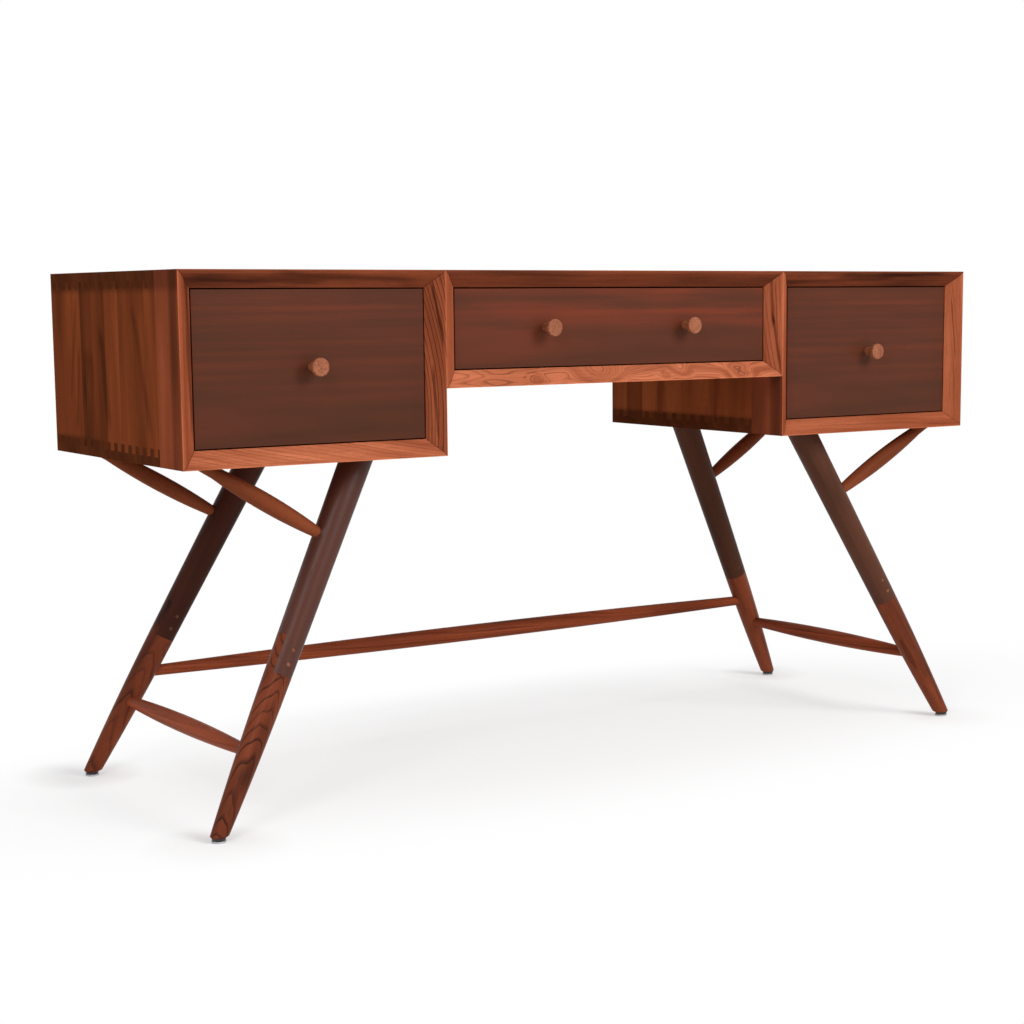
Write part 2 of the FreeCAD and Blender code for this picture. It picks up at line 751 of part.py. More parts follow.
def chamfered_foot(piece):
    """Eases the edge round the level foot of a leg."""
    doc.recompute()
    level = value(FOOT_LEVEL)
    widest = max(
        (edge.Length, number)
        for number, edge in enumerate(piece.Shape.Edges, start=1)
        if abs(edge.BoundBox.ZMax - level) < value("Dim.fit")
    )
    chamfer = doc.addObject("Part::Chamfer", "Foot")
    chamfer.Base = piece
    chamfer.Edges = [(widest[1], value("Dim.foot_chamfer"), value("Dim.foot_chamfer"))]
    return chamfer


def nailed_glide():
    """A foot's glide, tapered down to its pad, with the nail that holds it up in the leg."""
    nail_tip = f"{FOOT_LEVEL} + Dim.nail"
    corners = [
        ("0", "Dim.pad"),
        ("Dim.glide_waist_dia / 2", "Dim.pad"),
        ("Dim.glide_dia / 2", FOOT_LEVEL),
        ("Dim.nail_dia / 2", FOOT_LEVEL),
        ("Dim.nail_dia / 2", nail_tip),
        ("0", nail_tip),
    ]
    return turned("Glide", corners)


REACH = "Dim.desk_width"
above_box_floor = block((f"-{REACH}", f"-{REACH}", BOX_FLOOR), ("0", REACH, "Dim.desk_height"))
below_feet = block((f"-{REACH}", f"-{REACH}", "-Dim.pedestal_height"), ("0", REACH, FOOT_LEVEL))
left_pegs = []
left_glides = []
left_pads = []
for end_name, end in LEFT_LEGS.items():
    axis = leg_axis(end)
    upper = combine("Part::Cut", leg_piece("UpperLeg", end, upper=True), above_box_floor)
    tenon_root = leg_top(end) - axis * value("Dim.leg_tenon_dia")
    tenon = rod("Dim.leg_tenon_dia / 2", "Dim.leg_tenon_dia + Dim.leg_tenon", tenon_root, axis)
    upper = combine("Part::Fuse", upper, tenon)
    upper = combine("Part::Cut", upper, socket(end, BRACE_DROP, brace_axis(end)))
    name_piece(f"{end_name}_left_leg_upper", upper)

    foot = on_leg(end, LEG_LENGTH) + axis * (value(FOOT_LEVEL) / axis.z)
    foot_hole = rod("Dim.nail_dia / 2 + Dim.fit", "Dim.nail + Dim.end_gap", foot, Vector(0, 0, 1))
    sockets = [socket(end, SIDE_STRETCHER_DROP, Vector(0, -end, 0))]
    if end == REAR:
        sockets.append(socket(end, LONG_STRETCHER_DROP, Vector(1, 0, 0)))
    lower = combine("Part::Cut", leg_piece("LowerLeg", end, upper=False), below_feet)
    lower = combine("Part::Cut", chamfered_foot(lower), *sockets, foot_hole)
    name_piece(f"{end_name}_left_leg_lower", lower)

    rear = leg_placement(end).Rotation.multVec(Vector(0, 1, 0))
    half_peg = value("Dim.leg_waist_dia / 2 - Dim.peg_inset")
    for drop in peg_drops():
        start = on_leg(end, drop) - rear * half_peg
        left_pegs.append(rod("Dim.peg_dia / 2", "Dim.leg_waist_dia - 2 * Dim.peg_inset", start, rear))

    on_floor = Vector(foot.x, foot.y, 0)
    glide = nailed_glide()
    glide.Placement = Placement(on_floor, Rotation())
    left_glides.append(glide)
    left_pads.append(rod("Dim.pad_dia / 2", "Dim.pad", on_floor, Vector(0, 0, 1)))

for label, members in (("leg_pegs", left_pegs), ("foot_glides", left_glides), ("glide_pads", left_pads)):
    name_piece(label, group(*members, *(mirrored(member) for member in members)))


# Braces and stretchers: turned spindles, fullest at the middle, with straight ends in their sockets


def spindle(seat, direction, length, belly_dia, far_end="Dim.spindle_end"):
    """A spindle that starts a setback away from its seat on a leg's axis."""
    shoulder = f"{length} - {far_end}"
    corners = [
        ("0", "0"),
        (SPINDLE_RADIUS, "0"),
        (SPINDLE_RADIUS, "Dim.spindle_end"),
        (SPINDLE_RADIUS, shoulder),
        (SPINDLE_RADIUS, length),
        ("0", length),
    ]
    body = turned("Spindle", corners, {2: (f"{belly_dia} / 2", f"(Dim.spindle_end + {shoulder}) / 2")})
    start = seat + direction * value("Dim.spindle_setback")
    body.Placement = Placement(start, Rotation(Vector(0, 0, 1), direction))
    return body


BRACE_RUN = (
    f"sqrt(({brace_reach('x')} - {leg_reach('x', BRACE_DROP)})^2"
    f" + ({brace_reach('y')} - {leg_reach('y', BRACE_DROP)})^2"
    f" + ({BOX_FLOOR} - {leg_level(BRACE_DROP)})^2)"
)
BRACE_LENGTH = f"({BRACE_RUN} - Dim.spindle_setback + Dim.brace_tenon)"
for end_name, end in LEFT_LEGS.items():
    seat = on_leg(end, BRACE_DROP)
    brace = spindle(seat, brace_axis(end), BRACE_LENGTH, "Dim.brace_belly_dia", "Dim.brace_top_end")
    name_piece(f"{end_name}_left_brace", brace)

seat = on_leg(FRONT, SIDE_STRETCHER_DROP)
length = f"(2 * {leg_reach('y', SIDE_STRETCHER_DROP)} - 2 * Dim.spindle_setback)"
side_stretcher = spindle(seat, Vector(0, 1, 0), length, "Dim.side_stretcher_belly_dia")
name_piece("left_side_stretcher", side_stretcher)

seat = on_leg(REAR, LONG_STRETCHER_DROP)
length = f"(2 * {leg_reach('x', LONG_STRETCHER_DROP)} - 2 * Dim.spindle_setback)"
name_piece("long_stretcher", spindle(seat, Vector(1, 0, 0), length, "Dim.long_stretcher_belly_dia"))


# The right pedestal, its drawer, legs, braces and stretcher mirror the left ones

for label, piece in list(pieces.items()):
    if "left" in label and not label.startswith("centre"):
        name_piece(label.replace("left", "right"), mirrored(piece))


# Proof of every object, then one file for each piece

doc.recompute()
for item in doc.Objects:
    if "Invalid" in item.State or "Error" in item.State:
        raise ValueError(f"{item.Label} did not build")
for label, piece in pieces.items():
    if piece.Shape.isNull() or not piece.Shape.isValid() or not piece.Shape.Solids:
        raise ValueError(f"{label} has no valid solid")

os.makedirs("parts", exist_ok=True)
for label, piece in pieces.items():
    piece.Shape.exportStep(f"parts/{label}.step")
print(len(pieces), "pieces,", sum(len(piece.Shape.Solids) for piece in pieces.values()), "solids")
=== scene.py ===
import math

import bpy
from mathutils import Matrix, Vector


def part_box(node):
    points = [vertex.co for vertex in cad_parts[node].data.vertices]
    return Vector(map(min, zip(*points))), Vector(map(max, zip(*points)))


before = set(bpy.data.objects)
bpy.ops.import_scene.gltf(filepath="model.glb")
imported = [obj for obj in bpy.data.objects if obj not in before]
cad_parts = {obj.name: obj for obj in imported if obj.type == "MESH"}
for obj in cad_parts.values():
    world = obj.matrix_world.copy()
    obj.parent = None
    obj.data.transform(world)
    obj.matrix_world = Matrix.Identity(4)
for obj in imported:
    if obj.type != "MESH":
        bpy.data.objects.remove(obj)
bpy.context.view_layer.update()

# The sides of the three boxes: upright strips of sheesham, glued edge to edge and planed flat.
# Fingers at both ends go half way into the top and bottom boards, and the wood is oiled to a satin sheen.
# Each strip was cut from its own place in the trunk, so its tone and figure differ from its neighbour's.


class Tone:
    """A value, colour or vector that varies over a finish. Arithmetic on values adds Math nodes."""

    def __init__(self, socket):
        self.socket = socket

    def node(self, kind, settings, sockets, output=0):
        """Adds a node to the same finish: its settings first, then its sockets' values or links."""
        tree = self.socket.id_data
        node = tree.nodes.new(f"ShaderNode{kind}")
        for name, setting in settings.items():
            if name == "stops":
                lay_stops(node.color_ramp.elements, setting)
            elif name == "interpolation":
                node.color_ramp.interpolation = setting
            else:
                setattr(node, name, setting)
        for name, source in sockets.items():
            if isinstance(source, Tone):
                tree.links.new(source.socket, node.inputs[name])
            else:
                node.inputs[name].default_value = source
        return Tone(node.outputs[output])

    def feed(self, node, name):
        """Links this to a socket of a node that is there already."""
        node.id_data.links.new(self.socket, node.inputs[name])

    def math(self, operation, *values):
        return self.node("Math", {"operation": operation}, dict(enumerate(values)))

    def __add__(self, other):
        return self.math("ADD", self, other)

    def __radd__(self, other):
        return self.math("ADD", other, self)

    def __sub__(self, other):
        return self.math("SUBTRACT", self, other)

    def __rsub__(self, other):
        return self.math("SUBTRACT", other, self)

    def __mul__(self, other):
        return self.math("MULTIPLY", self, other)

    def __rmul__(self, other):
        return self.math("MULTIPLY", other, self)

    def __truediv__(self, other):
        return self.math("DIVIDE", self, other)

    def __rtruediv__(self, other):
        return self.math("DIVIDE", other, self)

    def __pow__(self, other):
        return self.math("POWER", self, other)

    def __rpow__(self, other):
        return self.math("POWER", other, self)

    def __abs__(self):
        return self.math("ABSOLUTE", self)

    def most(self, other):
        """The greater of two values."""
        return self.math("MAXIMUM", self, other)

    def step(self, low, high):
        """A smooth step from 0 where the value is low to 1 where it is high."""
        settings = {"interpolation_type": "SMOOTHSTEP"}
        return self.node("MapRange", settings, {"Value": self, "From Min": low, "From Max": high})

    def ramp(self, stops, interpolation="LINEAR"):
        """A colour that changes with the value, from stop to stop."""
        settings = {"stops": stops, "interpolation": interpolation}
        return self.node("ValToRGB", settings, {"Fac": self}, "Color")

    def part(self, axis):
        """The x, y or z part of a vector, or a colour's red, green or blue read as those."""
        return self.node("SeparateXYZ", {}, {"Vector": self}, axis)

    def vector(self, operation, other, output=0):
        return self.node("VectorMath", {"operation": operation}, {0: self, 1: other}, output)

    def length(self):
        return self.vector("LENGTH", (0, 0, 0), "Value")

    def noise(self, stretch, detail=2.0, roughness=0.5):
        """Cloudy noise, from 0 to 1, with so many clouds to the metre along each axis."""
        sockets = {"Vector": self.vector("MULTIPLY", stretch), "Scale": 1.0}
        sockets |= {"Detail": detail, "Roughness": roughness}
        return self.node("TexNoise", {}, sockets, "Fac")

    def mixed(self, factor, other):
        """This colour mixed with another."""
        return self.node("Mix", {"data_type": "RGBA"}, {0: factor, 6: self, 7: other}, 2)


def lay_stops(elements, stops):
    """Gives a ramp its stops, as places and colours."""
    while len(elements) < len(stops):
        elements.new(1.0)
    for element, (place, shade) in zip(elements, stops):
        element.position = place
        element.color = shade


def colour(red, green, blue):
    """A colour written as it looks on screen, from 0 to 255, and brought back to light by the screen's curve."""
    looks = (channel / 255 for channel in (red, green, blue))
    light = (share / 12.92 if share <= 0.04045 else ((share + 0.055) / 1.055) ** 2.4 for share in looks)
    return *light, 1.0


def new_finish(label, gloss):
    """A material and its shader, with the place on the piece in the frame's metres."""
    material = bpy.data.materials.new(label)
    material.use_nodes = True
    shader = material.node_tree.nodes["Principled BSDF"]
    shader.inputs["Specular IOR Level"].default_value = gloss
    return material, shader, Tone(shader.inputs["Base Color"]).node("TexCoord", {}, {}, "Object")


def facing(place, axis):
    """How far the surface faces along an axis of the frame, from -1 to 1."""
    return place.node("TexCoord", {}, {}, "Normal").part(axis)


def laid(place, heart, along, across):
    """Places in a timber's own frame: X along its grain from the heart, Y across its face, Z through it."""
    along = Vector(along).normalized()
    through = along.cross(Vector(across)).normalized()
    turn = Matrix((along, through.cross(along), through)).transposed().to_euler()
    sockets = {"Vector": place, "Location": heart, "Rotation": turn}
    return place.node("Mapping", {"vector_type": "TEXTURE"}, sockets)


# So many to the metre along and across the grain, but to the ring across for the bands and the groups of lines
BANDS, LINE_GROUPS = (2.0, 0.31, 1), (5.0, 0.9, 1)
CLOUDS, FIBRES, PORES = (5, 28, 28), (18, 560, 560), (70, 1900, 1900)
BAND_CONTRAST, CLOUD_CONTRAST = 2.2, 0.4
# A dark line's rise and its sharper fall, as shares of a ring
LINE_RISE, LINE_FALL = (0.62, 0.96), (1.0, 0.95)
FIBRE_ROUGHNESS, PORE_ROUGHNESS = 0.16, 0.12


def sheesham(shader, lie, shades, tone=0.5, bands=0.5, ring=0.008, lines=0.3, wander=0.012, sway=3.0, taper=0.03,
             bend=0.0, even=0.0, grain=0.3, stain_and_shade=0.0, rough=0.42):
    """Gives a shader the look of oiled sheesham.

    The growth rings stand round the heart, which runs along X of the timber's own frame. They wander as the trunk
    sways, follow its taper and any bend, and show as broad bands between three shades and as thin dark lines, which
    come in groups or evenly.
    """
    dark, middle, pale = shades
    drift = lie.noise((sway, sway * 5, sway * 5), 2.0, 0.35) - 0.5
    reach = lie.vector("MULTIPLY", (0, 1, 1)).length()
    rings = (reach + lie.part("X") * taper + drift * wander + bend) / ring
    sheet = lie.node("CombineXYZ", {}, {"X": lie.part("X"), "Y": rings, "Z": 0.0})
    band = sheet.noise(BANDS, 3.0, 0.55)
    cloud = lie.noise(CLOUDS, 1.0)
    level = (band - 0.5) * bands * BAND_CONTRAST + (cloud - 0.5) * CLOUD_CONTRAST + tone
    base = level.ramp([(0.0, dark), (0.5, middle), (1.0, pale)])
    turn = rings + band * 1.5
    share = turn.math("FRACT", turn)
    heavy = even + (1 - even) * sheet.noise(LINE_GROUPS, 1.0).step(0.42, 0.66)
    line = share.step(*LINE_RISE) * share.step(*LINE_FALL) * heavy * lines
    fibre = lie.noise(FIBRES, 3.0, 0.6)
    pore = lie.noise(PORES, 1.0).step(0.62, 0.74)
    figure = base.mixed(line, dark).mixed(fibre.step(0.45, 0.9) * grain, dark).mixed(pore * grain, dark)
    figure.mixed(stain_and_shade, dark).feed(shader, "Base Color")
    (rough + (fibre - 0.5) * FIBRE_ROUGHNESS + pore * PORE_ROUGHNESS).feed(shader, "Roughness")
    height = fibre * 0.4 - pore
    height.node("Bump", {}, {"Strength": 0.12, "Distance": 0.0004, "Height": height}).feed(shader, "Normal")


STREAK_CLOUDS, STREAK_WAVER = (14, 90, 90), 1.6


def streak(lie, start, end, width):
    """How dark a long soft streak is, from one place to another on a face, along X and across Y."""
    run = (lie.part("X") - start[0]) / (end[0] - start[0])
    drift = lie.noise(STREAK_CLOUDS, 2.0) - 0.5
    aside = lie.part("Y") - start[1] - run * (end[1] - start[1]) + drift * width * STREAK_WAVER
    return abs(aside).step(width, width * 0.1) * (run * (1 - run)).step(0.0, 0.14)


def edge_wear_and_highlight(place, low, high, width):
    """1 along the edges of a squared piece, where two faces are near, for a paler tone there: painted highlight on
    the rounded arrises, and wear of the finish.
    """
    near = 0
    for axis, start, end in zip("XYZ", low, high):
        inward = (end - start) / 2 - abs(place.part(axis) - (start + end) / 2)
        near = near + inward.step(width, 0.0)
    return near.step(1.2, 1.9)


def wear(label, material):
    """Puts a finish on a CAD node in place of its packed colour."""
    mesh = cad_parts[label].data
    mesh.materials.clear()
    mesh.materials.append(material)


CARCASS_SHADES = colour(54, 28, 16), colour(116, 57, 31), colour(156, 82, 45)
SIDE_REAR, SIDE_FRONT = 0.230, -0.155
# Each side's strips from rear to front: the share of the depth where it starts, its tone, and its place in the trunk
SIDE_STRIPS = {
    "left_outer_side": ((0, 0.48, 0.1), (0.29, 0.33, 0.7), (0.53, 0.6, 0.3), (0.66, 0.44, 0.9), (0.9, 0.54, 0.5)),
    # The right inner side's strips are paler, for their pale wood and as painted light against the shade of the
    # centre box above
    "right_inner_side": ((0, 0.68, 0.4), (0.11, 0.55, 0.8), (0.23, 0.85, 0.2), (0.34, 0.7, 0.6), (0.75, 0.58, 0.95)),
    "left_inner_side": ((0, 0.5, 0.25), (0.25, 0.35, 0.85), (0.45, 0.6, 0.55), (0.7, 0.45, 0.05)),
    "centre_left_side": ((0, 0.45, 0.15), (0.3, 0.55, 0.65), (0.65, 0.4, 0.35)),
    "centre_right_side": ((0, 0.55, 0.45), (0.35, 0.4, 0.95), (0.7, 0.5, 0.75)),
    "right_outer_side": ((0, 0.42, 0.6), (0.18, 0.56, 0.2), (0.4, 0.5, 0.9), (0.62, 0.4, 0.4), (0.8, 0.54, 0.0)),
}
# Dark streaks in the figure, each from a height and a distance from the rear to another, with its width
SIDE_STREAKS = {
    "left_outer_side": (
        ((0.72, 0.305), (0.53, 0.362), 0.013), ((0.69, 0.186), (0.535, 0.212), 0.016),
        ((0.73, 0.1), (0.57, 0.066), 0.007), ((0.66, 0.108), (0.53, 0.084), 0.006),
        ((0.66, 0.14), (0.50, 0.15), 0.03),
    ),
    "right_inner_side": (((0.62, 0.15), (0.49, 0.13), 0.02), ((0.64, 0.3), (0.5, 0.28), 0.02)),
    "right_outer_side": (((0.74, 0.1), (0.52, 0.13), 0.012), ((0.7, 0.25), (0.55, 0.22), 0.02)),
}
SIDE_STREAK_DEPTH = 0.17
# Oil darkens the joints from these heights on. The lower joint's dark fades at a share of the depth
UPPER_JOINT, LOWER_JOINT = (0.726, 0.742), (0.53, 0.52)
LOWER_JOINT_SHARE, RIGHT_INNER_JOINT_SHARE, JOINT_FADE = 0.55, 1.6, 0.15
JOINT_STAIN, STRIP_END_STAIN = 0.66, 0.6
# Along the edges the wood is paler: painted highlight on the rounded arrises, and wear
WEAR_AND_HIGHLIGHT_WIDTH, SIDE_WEAR_AND_HIGHLIGHT = 0.0015, 0.1
SIDE_HEART = 0.05
# A place in the trunk is a share of its length, and of a width that starts aside of the heart
TRUNK_LENGTH, TRUNK_WIDTH, TRUNK_ASIDE = 9, 0.3, 0.25
for label, strips in SIDE_STRIPS.items():
    material, shader, place = new_finish(label, gloss=0.0)
    low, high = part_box(label)
    lie = laid(place, (low.x - SIDE_HEART, SIDE_REAR, 0), (0, 0, 1), (0, -1, 0))
    share = lie.part("Y") / (SIDE_REAR - SIDE_FRONT)
    strip = share.ramp([(start, (tone, trunk, 0, 1)) for start, tone, trunk in strips], "CONSTANT")
    trunk = strip.part("Y")
    sockets = {"X": trunk * TRUNK_LENGTH, "Y": trunk * TRUNK_WIDTH - TRUNK_ASIDE, "Z": 0.0}
    shift = trunk.node("CombineXYZ", {}, sockets)
    height = place.part("Z")
    dark_share = RIGHT_INNER_JOINT_SHARE if label == "right_inner_side" else LOWER_JOINT_SHARE
    joint = height.step(*UPPER_JOINT) + height.step(*LOWER_JOINT) * share.step(dark_share, dark_share - JOINT_FADE)
    stain_and_shade = (joint * JOINT_STAIN).most(abs(facing(place, "Z")) * STRIP_END_STAIN)
    # The edges are made paler, as painted highlight and wear
    tone = strip.part("X") + edge_wear_and_highlight(place, low, high, WEAR_AND_HIGHLIGHT_WIDTH) * SIDE_WEAR_AND_HIGHLIGHT
    for start, end, width in SIDE_STREAKS.get(label, ()):
        tone = tone - streak(lie, start, end, width) * SIDE_STREAK_DEPTH
    sheesham(shader, lie.vector("ADD", shift), CARCASS_SHADES, tone, bands=0.3, ring=0.014, lines=0.14, wander=0.04,
             sway=2.2, grain=0.45, stain_and_shade=stain_and_shade)
    wear(label, material)

# The top and bottom boards of the boxes: sheesham with its grain along the desk.
# Their ends are notched for the sides' fingers, so dark end grain shows along the boxes' side edges.
BOARD_TONES = {"left": 0.5, "centre": 0.45, "right": 0.53}
# The boards' edges are paler too, as painted highlight and wear
BOARD_WEAR_AND_HIGHLIGHT = 0.12
# The first boards' place in the log from its heart, and how far the next box's boards lie from it
BOARD_ALONG, BOARD_ASIDE, BOARD_ABOVE = -4, 0.3, 0.12
NEXT_ALONG, NEXT_ASIDE = 2, 0.04
for number, (box, plain) in enumerate(BOARD_TONES.items()):
    for board in ("top_board", "bottom_board"):
        label = f"{box}_{board}"
        low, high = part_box(label)
        material, shader, place = new_finish(label, gloss=0.0)
        heart = (BOARD_ALONG - number * NEXT_ALONG, BOARD_ASIDE - number * NEXT_ASIDE, low.z - BOARD_ABOVE)
        lie = laid(place, heart, (1, 0, 0), (0, 1, 0))
        # Paler edges: painted highlight and wear
        tone = edge_wear_and_highlight(place, low, high, WEAR_AND_HIGHLIGHT_WIDTH) * BOARD_WEAR_AND_HIGHLIGHT + plain
        sheesham(shader, lie, CARCASS_SHADES, tone, grain=0.4, stain_and_shade=abs(facing(place, "X")) * JOINT_STAIN)
        wear(label, material)

# The back panels: flat sheesham boards with their grain along the desk.
# Each is set between the carcass boards, a little way in from the rear.
material, shader, place = new_finish("back_panel_wood", gloss=0.02)
lie = laid(place, (-2, 0.33, 0.55), (1, 0, 0), (0, 0, 1))
sheesham(shader, lie, CARCASS_SHADES, tone=0.45, ring=0.012, rough=0.5)
for box in ("left", "centre", "right"):
    wear(f"{box}_back_panel", material)

# The front frames: four bevelled members round each drawer, mitred at the corners and glued to the carcass.
# The upper rails are of dark, streaky wood and the lower rails of pale, figured wood.
# Each member is a stick of its own, so each has a tone and a run of the grain of its own.
FRAME_SHADES = colour(54, 27, 19), colour(137, 69, 43), colour(194, 112, 78)
DESK_HEIGHT = 0.760
FRAME_FRONT = -0.230
FRAME_BOXES = {
    "left": {"middle": -0.510, "half_width": 0.200, "half_height": 0.130},
    "centre": {"middle": 0.0, "half_width": 0.310, "half_height": 0.0825},
    "right": {"middle": 0.510, "half_width": 0.200, "half_height": 0.130},
}
# Slant and bow are how far the lines run aside for each metre, and each square metre, of the member's length.
# Streaks are dark by the depth, each from a place along and across the member, from the box's middle, to another.
# Knots have a place along and across, and a reach
FRAME_MEMBERS = {
    "left_top": {
        "tone": 0.33, "bands": 0.35, "ring": 0.008, "lines": 0.4, "slant": 0.02, "depth": 0.16,
        "streaks": (((-0.08, 0.125), (0.18, 0.112), 0.008), ((-0.2, 0.119), (0.03, 0.113), 0.007)),
    },
    "left_bottom": {
        "tone": 0.73, "bands": 0.45, "ring": 0.003, "lines": 0.6, "slant": 0.12, "wander": 0.02, "even": 0.4,
    },
    "left_left": {
        # Its flat arris gets painted highlight
        "tone": 0.54, "bands": 0.25, "ring": 0.006, "lines": 0.2, "arris_light_and_shade": 0.06,
        "streaks": (((0.15, -0.184), (-0.1, -0.176), 0.007),),
    },
    "left_right": {
        "tone": 0.52, "bands": 0.3, "ring": 0.0045, "lines": 1.0, "slant": 0.1, "bow": 0.55, "even": 0.75,
        "wander": 0.02,
        "streaks": (((0.12, 0.184), (0.02, 0.196), 0.002), ((0.0, 0.184), (-0.11, 0.189), 0.002)),
    },
    "centre_top": {"tone": 0.27, "bands": 0.3, "ring": 0.006, "lines": 0.3, "slant": 0.01, "even": 0.3},
    "centre_bottom": {
        "tone": 0.82, "bands": 0.5, "ring": 0.004, "lines": 0.6, "wander": 0.08, "sway": 4.5, "even": 0.6,
        "knots": ((-0.154, -0.075, 0.022), (-0.041, -0.066, 0.06), (0.081, -0.076, 0.02), (0.114, -0.069, 0.03),
                  (0.225, -0.08, 0.045)),
    },
    "centre_left": {"tone": 0.62, "bands": 0.3, "ring": 0.006, "lines": 0.2, "slant": 0.02},
    "centre_right": {
        "tone": 0.6, "bands": 0.3, "ring": 0.006, "lines": 0.5, "slant": 0.1, "bow": -0.6, "even": 0.3,
        "streaks": (((0.09, 0.294), (-0.01, 0.297), 0.0022), ((0.02, 0.296), (-0.085, 0.307), 0.0022),
                    ((0.07, 0.299), (-0.03, 0.302), 0.001)),
    },
    "right_top": {
        "tone": 0.26, "bands": 0.35, "ring": 0.009, "lines": 0.4, "slant": 0.02, "depth": 0.15,
        "streaks": (((-0.22, 0.113), (0.06, 0.119), 0.006), ((-0.1, 0.122), (0.18, 0.127), 0.005)),
    },
    "right_bottom": {"tone": 0.6, "bands": 0.3, "ring": 0.005, "lines": 0.3, "slant": 0.02, "even": 0.2},
    "right_left": {"tone": 0.52, "bands": 0.3, "ring": 0.006, "lines": 0.2},
    "right_right": {
        "tone": 0.64, "bands": 0.25, "ring": 0.007, "lines": 0.3, "slant": 0.05, "bow": 0.3,
        "streaks": (((0.09, 0.184), (-0.02, 0.19), 0.001),),
    },
}
FRAME_STREAK_DEPTH = 0.36
# How far the heart lies behind the members' faces, how far apart they were cut along the trunk, and how far aside
MEMBER_HEART, MEMBER_ALONG, MEMBER_ASIDE = 0.06, 1.7, 0.35
KNOT_SQUASH, KNOT_LIFT = (1, 1.8, 0), 0.6
MITRE_LINE, MITRE_STAIN, EDGE_JOINT_STAIN = (0.0012, 0.0002), 0.6, 0.45
# Along each outer arris of the front faces runs a band of painted shade, of painted highlight on the left pedestal's
# left stile, and a thin rim of painted highlight
ARRIS_BAND, ARRIS_SHADE, ARRIS_RIM, RIM_HIGHLIGHT = (0.006, 0.004), -0.06, (0.0022, 0.0008), 0.16
# The frames' outer edges are darker than their faces, most in a stripe between two depths
EDGE_TONE, STRIPE_TONE, STRIPE_REAR, STRIPE_FRONT = 0.12, 0.2, (-0.194, -0.206), (-0.229, -0.221)


def picked(figure, *names):
    """Those of a timber's habits that are given for it, by name."""
    return {name: figure[name] for name in names if name in figure}


for number, (label, cut) in enumerate(FRAME_MEMBERS.items()):
    box, member = label.split("_")
    sizes = FRAME_BOXES[box]
    level = DESK_HEIGHT - sizes["half_height"]
    material, shader, place = new_finish(f"{label}_member", gloss=0.0)
    from_side = sizes["half_width"] - abs(place.part("X") - sizes["middle"])
    from_end = sizes["half_height"] - abs(place.part("Z") - level)
    heart = (sizes["middle"], FRAME_FRONT + MEMBER_HEART, level)
    if member in ("top", "bottom"):
        lie = laid(place, heart, (1, 0, 0), (0, 0, 1))
    else:
        lie = laid(place, heart, (0, 0, 1), (1, 0, 0))
    bend = lie.part("X") * cut.get("slant", 0.0) + lie.part("X") ** 2 * cut.get("bow", 0.0)
    for along, across, reach in cut.get("knots", ()):
        away = lie.vector("SUBTRACT", (along, across, 0)).vector("MULTIPLY", KNOT_SQUASH)
        bend = bend + away.length().step(reach, 0.0) * reach * KNOT_LIFT
    inward = from_side.math("MINIMUM", from_side, from_end)
    # Painted shade along the front arrises, with a rim of painted highlight
    arris_light_and_shade = inward.step(*ARRIS_BAND) * cut.get("arris_light_and_shade", ARRIS_SHADE) + inward.step(*ARRIS_RIM) * RIM_HIGHLIGHT
    depth = place.part("Y")
    edge = abs(facing(place, "X")).step(0.8, 0.9)
    stripe = depth.step(*STRIPE_REAR) * depth.step(*STRIPE_FRONT)
    tone = cut["tone"] + arris_light_and_shade * facing(place, "Y").step(-0.5, -0.9) - edge * (EDGE_TONE + stripe * STRIPE_TONE)
    for start, end, width in cut.get("streaks", ()):
        tone = tone - streak(lie, start, end, width) * cut.get("depth", FRAME_STREAK_DEPTH)
    mitre = abs(from_end - from_side).step(*MITRE_LINE)
    joint = edge * place.part("Z").step(*UPPER_JOINT)
    lie = lie.vector("ADD", (number * MEMBER_ALONG, MEMBER_ASIDE, 0))
    stain_and_shade = (mitre * MITRE_STAIN).most(joint * EDGE_JOINT_STAIN)
    sheesham(shader, lie, FRAME_SHADES, tone, taper=0.0, bend=bend, grain=0.45, stain_and_shade=stain_and_shade,
             **picked(cut, "bands", "ring", "lines", "wander", "sway", "even"))
    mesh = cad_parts[f"{box}_front_frame"].data
    if member == "top":
        mesh.materials.clear()
    mesh.materials.append(material)
for box, sizes in FRAME_BOXES.items():
    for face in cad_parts[f"{box}_front_frame"].data.polygons:
        across = face.center.x - sizes["middle"]
        up = face.center.z - DESK_HEIGHT + sizes["half_height"]
        rail = sizes["half_height"] - abs(up) < sizes["half_width"] - abs(across)
        face.material_index = int(up < 0) if rail else 2 + int(across > 0)

# The bolts and sleeve nuts: zinc-plated steel, put through the boxes' sides and screwed tight.
# They clamp the three boxes together, and are seen only with the drawers out.


def speckled(label, gloss, count, stops, rough, spread, metal=0.0):
    """A finish of two tints in fine specks, so many to the metre, that are also smoother and duller."""
    material, shader, place = new_finish(label, gloss)
    shader.inputs["Metallic"].default_value = metal
    speck = place.noise((count, count, count), 3.0)
    speck.ramp(stops).feed(shader, "Base Color")
    (speck * spread + rough).feed(shader, "Roughness")
    return material


STEEL_STOPS = [(0.3, colour(120, 122, 126)), (0.7, colour(176, 178, 182))]
STEEL = speckled("zinc_steel", gloss=0.5, count=900, stops=STEEL_STOPS, rough=0.25, spread=0.25, metal=1.0)
wear("box_connectors", STEEL)

# The drawer fronts: sheesham stained a dark red-brown under satin lacquer, set back behind the frames' bevels.
# The stain lets a little of the level grain through as reddish and greyish bands.
STAIN_SHADES = colour(60, 36, 24), colour(83, 42, 27), colour(114, 49, 30)
# Each drawer's tone, and how far reddish patches lift its upper half
DRAWER_TONES = {"left": (0.42, 0.12), "centre": (0.51, 0.36), "right": (0.43, 0.06)}
# The lower part of each front is darker: painted shade, for light from above
FRONT_PATCHES, FRONT_FOOT_PAINTED_SHADE = (3, 1, 26), 0.14
